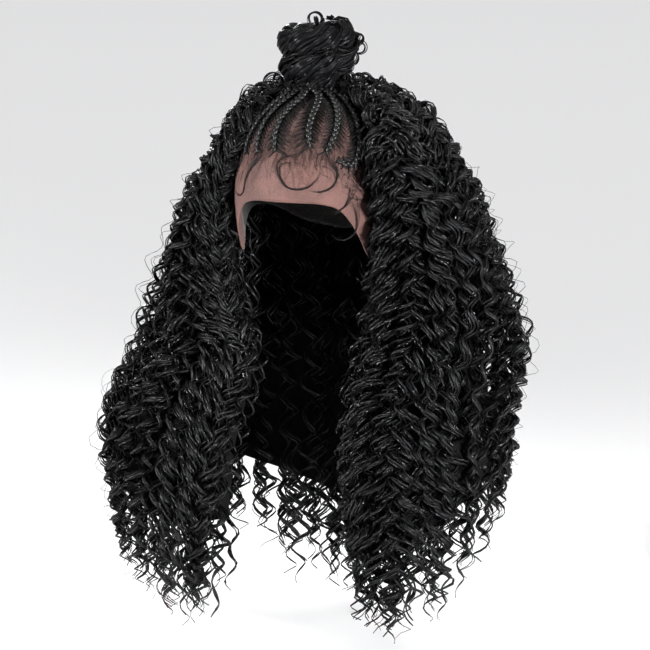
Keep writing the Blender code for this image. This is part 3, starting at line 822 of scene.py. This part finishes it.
def looseLoops():
    # a circle that leaves the bun, swings out and comes back, in a tilted plane
    source = np.random.default_rng(bunLoops["seed"])
    each = bunLoops["strands"]
    turn = np.radians(np.repeat(bunLoops["turn"], each)).astype(float)
    height = np.repeat(bunLoops["height"], each).astype(float)
    size = np.repeat(bunLoops["radius"], each) * source.uniform(0.85, 1.12, len(turn)) / 1000
    tilt = np.radians(np.repeat(bunLoops["tilt"], each) + source.uniform(-12, 12, len(turn)))
    out = unit(np.stack([np.sin(turn), -np.cos(turn), 0.35 + 0 * turn], axis=-1))
    side = unit(np.cross(out, np.array([0, 0, 1.0])))
    rise = np.cross(side, out)
    plane = side * np.cos(tilt)[:, None] + rise * np.sin(tilt)[:, None]
    middle = bunPoint(turn, height, -bunLoops["sunk"]) + out * (size * 0.55)[:, None]
    rings = np.repeat(np.array(crownLoops["middle"]) / 1000, each, axis=0)
    ring = np.repeat(crownLoops["radius"], each) * source.uniform(0.85, 1.1, len(rings)) / 1000
    away = unit(rings - np.array([0, 0, -0.06]))
    across = unit(np.cross(away, np.array([0.25, -1, 0.1])))
    middle, out, size = (np.concatenate(x) for x in ((middle, rings), (out, away), (size, ring)))
    plane = np.concatenate([plane, across])
    done = np.linspace(0, 1, bunLoops["samples"])[None, :, None]
    phase = np.pi * (1 + bunLoops["arc"] * done)
    shape = out[:, None] * np.cos(phase) + plane[:, None] * np.sin(phase)
    drift = np.cross(out, plane)[:, None] * (done - 0.5) * bunLoops["drift"]
    path = middle[:, None] + (shape + drift) * size[:, None, None]
    path = path + source.normal(0, bunLoops["loose"], (len(path), 1, 3))
    taper = np.minimum(1, 0.2 + 2.5 * np.minimum(done, 1 - done)[..., 0])
    half = flatSizes(np.broadcast_to(taper, path.shape[:2]), bunLoops)
    return sweep(path, path - middle[:, None], half, thinProfile,
                 source.uniform(0.3, 0.9, len(path)))


# the core is coloured darker than the wisps, a painted shade of the depth under them
makePiece("bunCore", [bunCore()], coreShadeLook, ["bun"])
makePiece("bunWisps", [ropeWisps(), grooveWisps(), looseLoops()], bunLook, ["bun"])
print("bun made")


# long curly hair: guides that fall over the head, with wisps curling round them

# six kinds of wisps: outer curls, curls at the face opening, inner ones that fill the depth,
# flyaways, single hairs that have left their locks, fine hair over the seam of the lace
curls = {
    "guides": [100, 40, 66, 36, 44, 84],
    "wisps": [4, 3, 2, 3, 1, 1],
    "samples": [156, 100, 112, 190, 118, 44],
    "pitch": [0.0285, 0.027, 0.036, 0.025, 0.03, 0.03],
    "loose": [0.0026, 0.003, 0.004, 0.004, 0.006, 0.006],
    "amplitude": [(0.0046, 0.0088), (0.0045, 0.008), (0.005, 0.009), (0.0055, 0.0088),
                  (0.007, 0.012), (0.002, 0.006)],
    "grow": [0.03, 0.022, 0.03, 0.02, 0.03, 0.06],
    "width": [0.0015, 0.0013, 0.0018, 0.001, 0.00026, 0.00035],
    "thick": [0.0006, 0.0006, 0.0008, 0.0007, 0.00022, 0.00025],
    "offset": [(0.0016, 0.0072), (0.0015, 0.0045), (0.002, 0.006), (0.001, 0.0018),
               (0.003, 0.006), (0.0012, 0.003)],
    "rootLevel": [(-0.13, 0.12), (0.1, 0.95), (0.6, 1.15), (-0.13, 0.6), (-0.1, 0.9),
                  (0.16, 1.02)],
    "share": [(0.74, 0.99), (0.45, 0.98), (0.06, 0.3), (0.91, 1.01), (0.96, 1.04), (0.35, 0.85)],
    "end": [2.0, 2.0, 2.0, 2.0, 2.0, 1.42],
    "edge": [0, 0.12, 0, 0, 0, 0.035],
    "seed": [21, 22, 23, 24, 26, 25],
}
edgeSource = np.random.default_rng(31)

# shared by all kinds: how pitch, turn and hand change round the head, how a lock wanders, swells,
# bends and swings down its length, and how its wisps draw together at the tip
lock = {
    "points": 90, "rows": 6, "pitchWave": 0.0022, "turnWave": 1.5, "turnWaves": (5, 13),
    "turnLoose": 1.7, "hem": (1.98, 2.07), "beat": (0.8, 2.6), "wander": 0.006, "wanders": 1.6,
    "swell": 0.06, "bend": (0.35, 0.115), "swing": (0.32, 0.083), "flat": 0.8, "ears": 0.11,
    "gather": 0.75, "gatherFrom": 0.8, "roots": 0.4, "margin": 0.003,
}


def guideSpots(kind, source):
    # shares of the way round: all round, or half near each edge of the face opening
    guides, edge = kind["guides"], kind["edge"]
    if not edge:
        return (np.arange(guides) + source.uniform(0.15, 0.85, guides)) / guides
    return np.concatenate([edgeSource.uniform(*ends, guides // 2)
                           for ends in ((0.0, edge), (1 - edge, 1.0))])


def growCurls(kind):
    # path = guide + A (outward cos p + sideways sin p), where p turns once in each pitch
    source = np.random.default_rng(kind["seed"])
    guides, each = kind["guides"], kind["wisps"]
    spots = guideSpots(kind, source)
    few, many = lock["turnWaves"]
    guide = {
        "spot": spots,
        "share": source.uniform(*kind["share"], guides),
        "level": source.uniform(*kind["rootLevel"], guides),
        "pitch": (kind["pitch"] + lock["pitchWave"] * np.sin(2 * np.pi * lock["rows"] * spots + 2)
                  + source.uniform(-1, 1, guides) * kind["loose"]),
        "reach": source.uniform(*kind["amplitude"], guides),
        "phase": (lock["turnWave"] * np.sin(2 * np.pi * few * spots)
                  + lock["turnWave"] * np.sin(2 * np.pi * many * spots + 1)
                  + source.uniform(0, lock["turnLoose"], guides)),
        "hand": np.sign(np.sin(2 * np.pi * lock["rows"] * spots + 0.7) + 0.01),
        "sway": source.uniform(0, 2 * np.pi, guides),
        "end": (source.uniform(*lock["hem"], guides) - 0.06 * smooth(1 - spots / 0.12)
                + kind["end"] - 2.0),
        "beat": source.uniform(*lock["beat"], guides),
    }
    own = {key: np.repeat(value, each)[:, None] for key, value in guide.items()}
    count = guides * each
    draw = columnDraw(source, count)
    t = np.linspace(0, 1, lock["points"])[None, :]
    begin = own["level"] + draw(-0.02, 0.02)
    level = begin + (own["end"] + draw(-0.05, 0.01) - begin) * t ** 1.25
    wander = lock["wander"] * np.sin(2 * np.pi * t * lock["wanders"] + own["sway"])
    around = np.clip(own["spot"] + wander * smooth(t * 2), 0.0, 1.0)
    depth = 1 + lock["swell"] * np.sin(2 * np.pi * t * own["beat"] + 3 * own["sway"])
    share = own["share"] * depth * (0.55 + 0.45 * smooth(t * 5))
    share = np.where(own["level"] > 0.1, own["share"] * depth * smooth(0.02 + t * 4.5), share)
    line = hairPoint(around, level, share)
    line, walked = resample(line, kind["samples"], source.uniform(0.95, 1.0, count))
    tangent = unit(np.gradient(line, axis=1))
    out = unit(np.stack([line[..., 0], line[..., 1] - axisBack,
                         np.maximum(line[..., 2] + 0.1, 0)], axis=-1))
    out = unit(out - dot(out, tangent) * tangent)
    side = np.cross(tangent, out)
    ramp = smooth(walked / kind["grow"])
    # curls are counted from the level of the ears, so neighbours lie in rows
    ear = np.argmin(np.abs(line[..., 2] + lock["ears"]), axis=1)
    fromEar = walked - np.take_along_axis(walked, ear[:, None], axis=1)
    phase = own["phase"] + own["hand"] * 2 * np.pi * fromEar / own["pitch"]
    size, length = lock["bend"]
    phase = phase + size * np.sin(2 * np.pi * walked / length + own["sway"])
    opening = lock["roots"] + (1 - lock["roots"]) * ramp
    phase = phase + source.normal(0, 0.2, (count, 1)) * opening
    reach = own["reach"] * ramp * draw(0.8, 1.15)
    size, length = lock["swing"]
    reach = reach * (1 + size * np.sin(2 * np.pi * walked / length + 2 * own["sway"]))
    radial = out * np.cos(phase)[..., None] * lock["flat"] + side * np.sin(phase)[..., None]
    # wisps of one lock spread below the roots and draw together again at the tip
    late = smooth((walked / walked[:, -1:] - lock["gatherFrom"]) * 5)
    spread = opening * (1 - lock["gather"] * late)
    stray = source.normal(0, kind["offset"][0], (count, 1)) * spread
    slide = draw(-1, 1) * kind["offset"][1] * spread
    path = line + radial * reach[..., None] + out * stray[..., None] + side * slide[..., None]
    path = keepOut(path, lock["margin"])
    done = np.linspace(0, 1, kind["samples"])[None, :]
    size = np.minimum(0.5 + 4 * done, 1) * (0.4 + 0.6 * smooth((1 - done) * 16))
    half = flatSizes(size * draw(0.65, 1.35), kind)
    return {"path": path, "thin": radial, "half": half, "tone": source.uniform(0.2, 0.9, count),
            "spot": np.repeat(spots, each)}


grown = [growCurls({key: values[k] for key, values in curls.items()}) for k in range(6)]
print("curls grown")

# six pieces round the head, each inside the solid it stands for
hairPieces = {
    "names": ["curlsRightFront", "curlsRightSide", "curlsBackRight", "curlsBackLeft",
              "curlsLeftSide", "curlsLeftFront"],
    "limits": [0.0, 0.17, backBegins, 0.5, backEnds, 0.83, 1.0001],
    "nodes": ["hair_right", "hair_right", "hair_back", "hair_back", "hair_left", "hair_left"],
}

for number, name in enumerate(hairPieces["names"]):
    low, high = hairPieces["limits"][number:number + 2]
    parts = []
    for batch in grown:
        own = (batch["spot"] >= low) & (batch["spot"] < high)
        if own.any():
            parts.append(sweep(*(batch[key][own] for key in ("path", "thin", "half")),
                               thinProfile, batch["tone"][own]))
    makePiece(name, parts, curlLook, [hairPieces["nodes"][number]])
print("curls made")

# dark hair underneath, so that nothing shows through between the curls; it is real hair, coloured
# darker than the curls as painted shade of the depth between them
under = {"columns": 34, "rows": 70, "outer": 0.66, "inner": 0.32, "ripple": 0.0022,
         "pitch": 0.026, "top": -0.1, "hem": 1.84}


def hairUnder(low, high):
    # two sides of a thick sheet with ripples, closed all round
    around = np.linspace(low, high, under["columns"])[None, :]
    top = under["top"]
    level = top + (under["hem"] - top) * np.linspace(0, 1, under["rows"])[:, None]
    outer, inner = (hairPoint(around, level, under[side]) for side in ("outer", "inner"))
    wave = np.sin(2 * np.pi * (outer[..., 2] / under["pitch"] + 9 * np.sin(around * 60)))
    out = unit((outer - np.array([0, axisBack, 0])) * np.array([1, 1, 0]))
    outer = outer + out * (under["ripple"] * wave)[..., None]
    inner = keepOut(inner, 0.0015)
    ring = np.concatenate([outer, inner[:, ::-1]], axis=1)
    return gridPart(ring, closed=True, tone=0.3)


for name, low, high, node in (("underRight", 0.015, backBegins - 0.001, "hair_right"),
                              ("underBack", backBegins + 0.001, backEnds - 0.001, "hair_back"),
                              ("underLeft", backEnds + 0.001, 0.985, "hair_left")):
    makePiece(name, [hairUnder(low, high)], coreShadeLook, [node])
print("hair made")


# baby hair on the lace, placed by the picture

def pictureFrame():
    a, e = math.radians(picture["azimuth"]), math.radians(picture["elevation"])
    right = np.array([math.cos(a), math.sin(a), 0])
    up = np.array([-math.sin(a) * math.sin(e), math.cos(a) * math.sin(e), math.cos(e)])
    back = np.array([math.sin(a) * math.cos(e), -math.cos(a) * math.cos(e), math.sin(e)])
    return right, up, back


def placeByPicture(spots):
    # the point of the head form that lies nearest to each place in the picture
    right, up, back = pictureFrame()
    angle, level = np.meshgrid(np.linspace(-80, 85, 500), np.linspace(0.1, 2.1, 500))
    form = headPoint(angle, level, seat).reshape(-1, 3)
    seen = np.stack([picture["middle"][0] + 1000 * form @ right,
                     picture["middle"][1] - 1000 * form @ up], axis=-1)
    depth = form @ back
    found = []
    for spot in spots:
        away = np.linalg.norm(seen - np.array(spot), axis=-1) - 8 * depth
        found.append(form[np.argmin(away)])
    return np.array(found)


def spline(points, count):
    # Catmull-Rom curve: smooth through every point
    before, after = 2 * points[:1] - points[1:2], 2 * points[-1:] - points[-2:-1]
    points = np.concatenate([before, points, after])
    t = np.linspace(0, len(points) - 3 - 1e-9, count)
    k = t.astype(int)
    f = (t - k)[:, None]
    a, b, c, d = (points[k + j] for j in range(4))
    return 0.5 * (2 * b + (c - a) * f + (2 * a - 5 * b + 4 * c - d) * f ** 2
                  + (3 * b - a - 3 * c + d) * f ** 3)


headMiddle = np.array([0, 0, -0.1])

swoops = {
    "lines": [
        [(300, 163), (286, 163), (279, 168), (280, 179), (287, 189), (298, 192), (309, 189),
         (317, 181), (320, 173)],
        [(322, 163), (329, 165), (336, 173), (337, 181), (333, 188), (325, 193), (315, 194),
         (307, 191)],
        [(352, 200), (356, 210), (357, 223), (354, 234), (346, 240), (337, 240), (330, 235)],
        [(262, 150), (258, 159), (251, 170), (246, 181), (244, 192), (240, 196), (236, 191)],
        [(352, 186), (350, 197), (345, 207), (337, 213), (329, 214)],
    ],
    "strands": 16, "spread": 0.0072, "tail": 0.0005, "thick": 0.00013, "samples": 34, "seed": 41,
}


def fineHairs(path, out, thick, taper, source):
    # hairs with a half thickness that changes along them by the taper
    half = np.broadcast_to(thick * taper[..., None], (*path.shape[:2], 2))
    return sweep(path, out, half, thinProfile, source.uniform(0.3, 0.8, len(path)))


def babyHair():
    # each swoop fans out at its roots and draws together into one curved tip
    source = np.random.default_rng(swoops["seed"])
    paths, outs = [], []
    for spots in swoops["lines"]:
        middle = spline(placeByPicture(spots), swoops["samples"])
        out = unit(middle - headMiddle)
        side = unit(np.cross(unit(np.gradient(middle, axis=0)), out))
        t = np.linspace(0, 1, swoops["samples"])[:, None]
        for _ in range(swoops["strands"]):
            begin = source.uniform(-1, 1)
            gather = source.uniform(0.35, 0.75)
            shift = begin * swoops["spread"] * (1 - smooth(t / gather)) ** 1.2
            shift = shift + source.uniform(-1, 1) * swoops["tail"]
            shift = shift + 0.0007 * np.sin(3.0 * t + 6 * begin) * smooth(t * 4)
            paths.append(middle + side * shift + out * source.uniform(0.0002, 0.0006))
            outs.append(out)
    paths = resample(np.array(paths), swoops["samples"], source.uniform(0.72, 1.0, len(paths)))[0]
    taper = np.minimum(1, 0.3 + 4 * np.minimum(t, 1 - t))
    return fineHairs(paths, np.array(outs), swoops["thick"], taper[None, :, 0], source)


hairline = {"count": 620, "samples": 8, "length": (0.006, 0.018), "back": (0.78, 0.955),
            "thick": 0.0001, "seed": 43}


def hairlineHair():
    # short fine hairs that leave the lace's front and lie back towards the plaits
    source, draw, count, t = strandSet(hairline)
    x = source.uniform(-0.86, 0.86, count)
    y = -np.sqrt(1 - x ** 2) * source.uniform(*hairline["back"], count)
    length = draw(*hairline["length"])
    turn = source.normal(0, 0.55, (count, 1)) + source.normal(0, 0.9, (count, 1)) * t
    px = x[:, None] * head["halfWidth"] + length * t * np.sin(turn - x[:, None] * 0.5)
    py = y[:, None] * head["halfDepth"] + length * t * np.cos(turn)
    path, normal = domePoint(px, py, seat)
    return fineHairs(path + normal * 0.0002, normal, hairline["thick"], 1 - 0.7 * t, source)


def laceHairs(kind, source, angle, level, taper):
    # fine hairs that lie on the lace at these angles and levels and stay on it
    path = headPoint(angle, np.minimum(level, rimLevel(angle) - kind["rim"]), seat + 0.0003)
    return fineHairs(path, unit(path - headMiddle), kind["thick"], taper, source)


# fine hairs that fall from the hairline over the forehead, each with its own bend
forehead = {"count": 130, "samples": 12, "angle": 58, "from": (0.64, 0.8), "lean": 14,
            "drop": (0.08, 0.3), "rim": 0.03, "thick": 0.00009, "seed": 47}


def foreheadHair():
    source, draw, _, t = strandSet(forehead)
    angle = draw(-forehead["angle"], forehead["angle"])
    begin = draw(*forehead["from"]) + 0.0012 * np.abs(angle)
    one = draw(-forehead["lean"], forehead["lean"])
    two = draw(-forehead["lean"], forehead["lean"])
    level = begin + draw(*forehead["drop"]) * (t - 0.25 * t ** 3)
    return laceHairs(forehead, source, angle + (one * t + two * t ** 2), level, 1.1 - t * 0.8)


# fine hairs combed back over the lace on the +X side: angles in degrees
templeHairs = {"count": 210, "samples": 10, "angles": (42, 68), "levels": (0.6, 1.06),
               "swing": (8, 24), "drop": (0.02, 0.17), "rim": 0.02, "thick": 0.00013,
               "seed": 49}


def templeHair():
    source, draw, _, t = strandSet(templeHairs)
    begin = draw(*templeHairs["angles"])
    angle = begin + draw(*templeHairs["swing"]) * t
    level = draw(*templeHairs["levels"])
    level = level + draw(*templeHairs["drop"]) * t ** 1.5
    return laceHairs(templeHairs, source, angle, level, 1.1 - t * 0.6)


makePiece("babyHair", [babyHair(), foreheadHair(), templeHair()], fineLook)
makePiece("hairlineHair", [hairlineHair()], fineLook)
print("baby hair made")


# floor, light and camera

studio = {"floorGap": 0.003, "floorSize": 140.0, "pale": (0.93, 0.93, 0.94), "world": 0.02,
          "sky": (0.95, 0.96, 1.0), "aim": (0, 0, -0.2)}

low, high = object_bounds()
bpy.ops.mesh.primitive_plane_add(size=studio["floorSize"],
                                 location=(0, 0, low.z - studio["floorGap"]))
floor = bpy.context.object
floor.name = "studioFloor"
floor.data.materials.append(nodeTree("paleFloor", {"Base Color": (*studio["pale"], 1),
                                                   "Roughness": 0.6})[0])
floor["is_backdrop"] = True

world = bpy.data.worlds.new("studioWorld")
world.use_nodes = True
sky = world.node_tree.nodes["Background"].inputs
sky["Color"].default_value = (*studio["sky"], 1)
sky["Strength"].default_value = studio["world"]
bpy.context.scene.world = world


def placeOnStage(name, data, place, facing):
    # a lamp or camera that looks one way with its top up
    made = addObject(name, data)
    made.location = place
    made.rotation_euler = facing.to_track_quat("-Z", "Y").to_euler()
    return made


# softboxes: place, size, power and spread in degrees
lights = {
    "overhead": ((0.0, 0.0, 12.0), 34.0, 3900.0, 180),
    "key": ((-1.9, -2.2, 0.1), 0.8, 8.2, 24),
    "fill": ((2.6, -1.5, 0.05), 0.8, 9.6, 24),
    "rear": ((-1.4, 2.6, 0.6), 0.8, 1.6, 24),
}
for name, (place, size, power, spread) in lights.items():
    lamp = bpy.data.lights.new(name, "AREA")
    lamp.shape = "DISK"
    lamp.size = size
    lamp.energy = power
    lamp.spread = math.radians(spread)
    placeOnStage(name, lamp, place, Vector(studio["aim"]) - Vector(place))

right, up, back = pictureFrame()
target = right * picture["right"] + up * picture["up"]
lens = bpy.data.cameras.new("pictureCamera")
lens.sensor_width = 36.0
lens.lens = lens.sensor_width * picture["away"] / picture["size"]
lens.clip_end = 100.0
stage = bpy.context.scene
stage.camera = placeOnStage("pictureCamera", lens, Vector(target + back * picture["away"]),
                            Vector(-back))
stage.view_settings.view_transform = "Standard"
print("stage set")

shown = [o for o in stage.objects if o.type == "MESH" and not o.hide_render]
print("triangles", sum(sum(len(p.vertices) - 2 for p in o.data.polygons) for o in shown))
low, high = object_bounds()
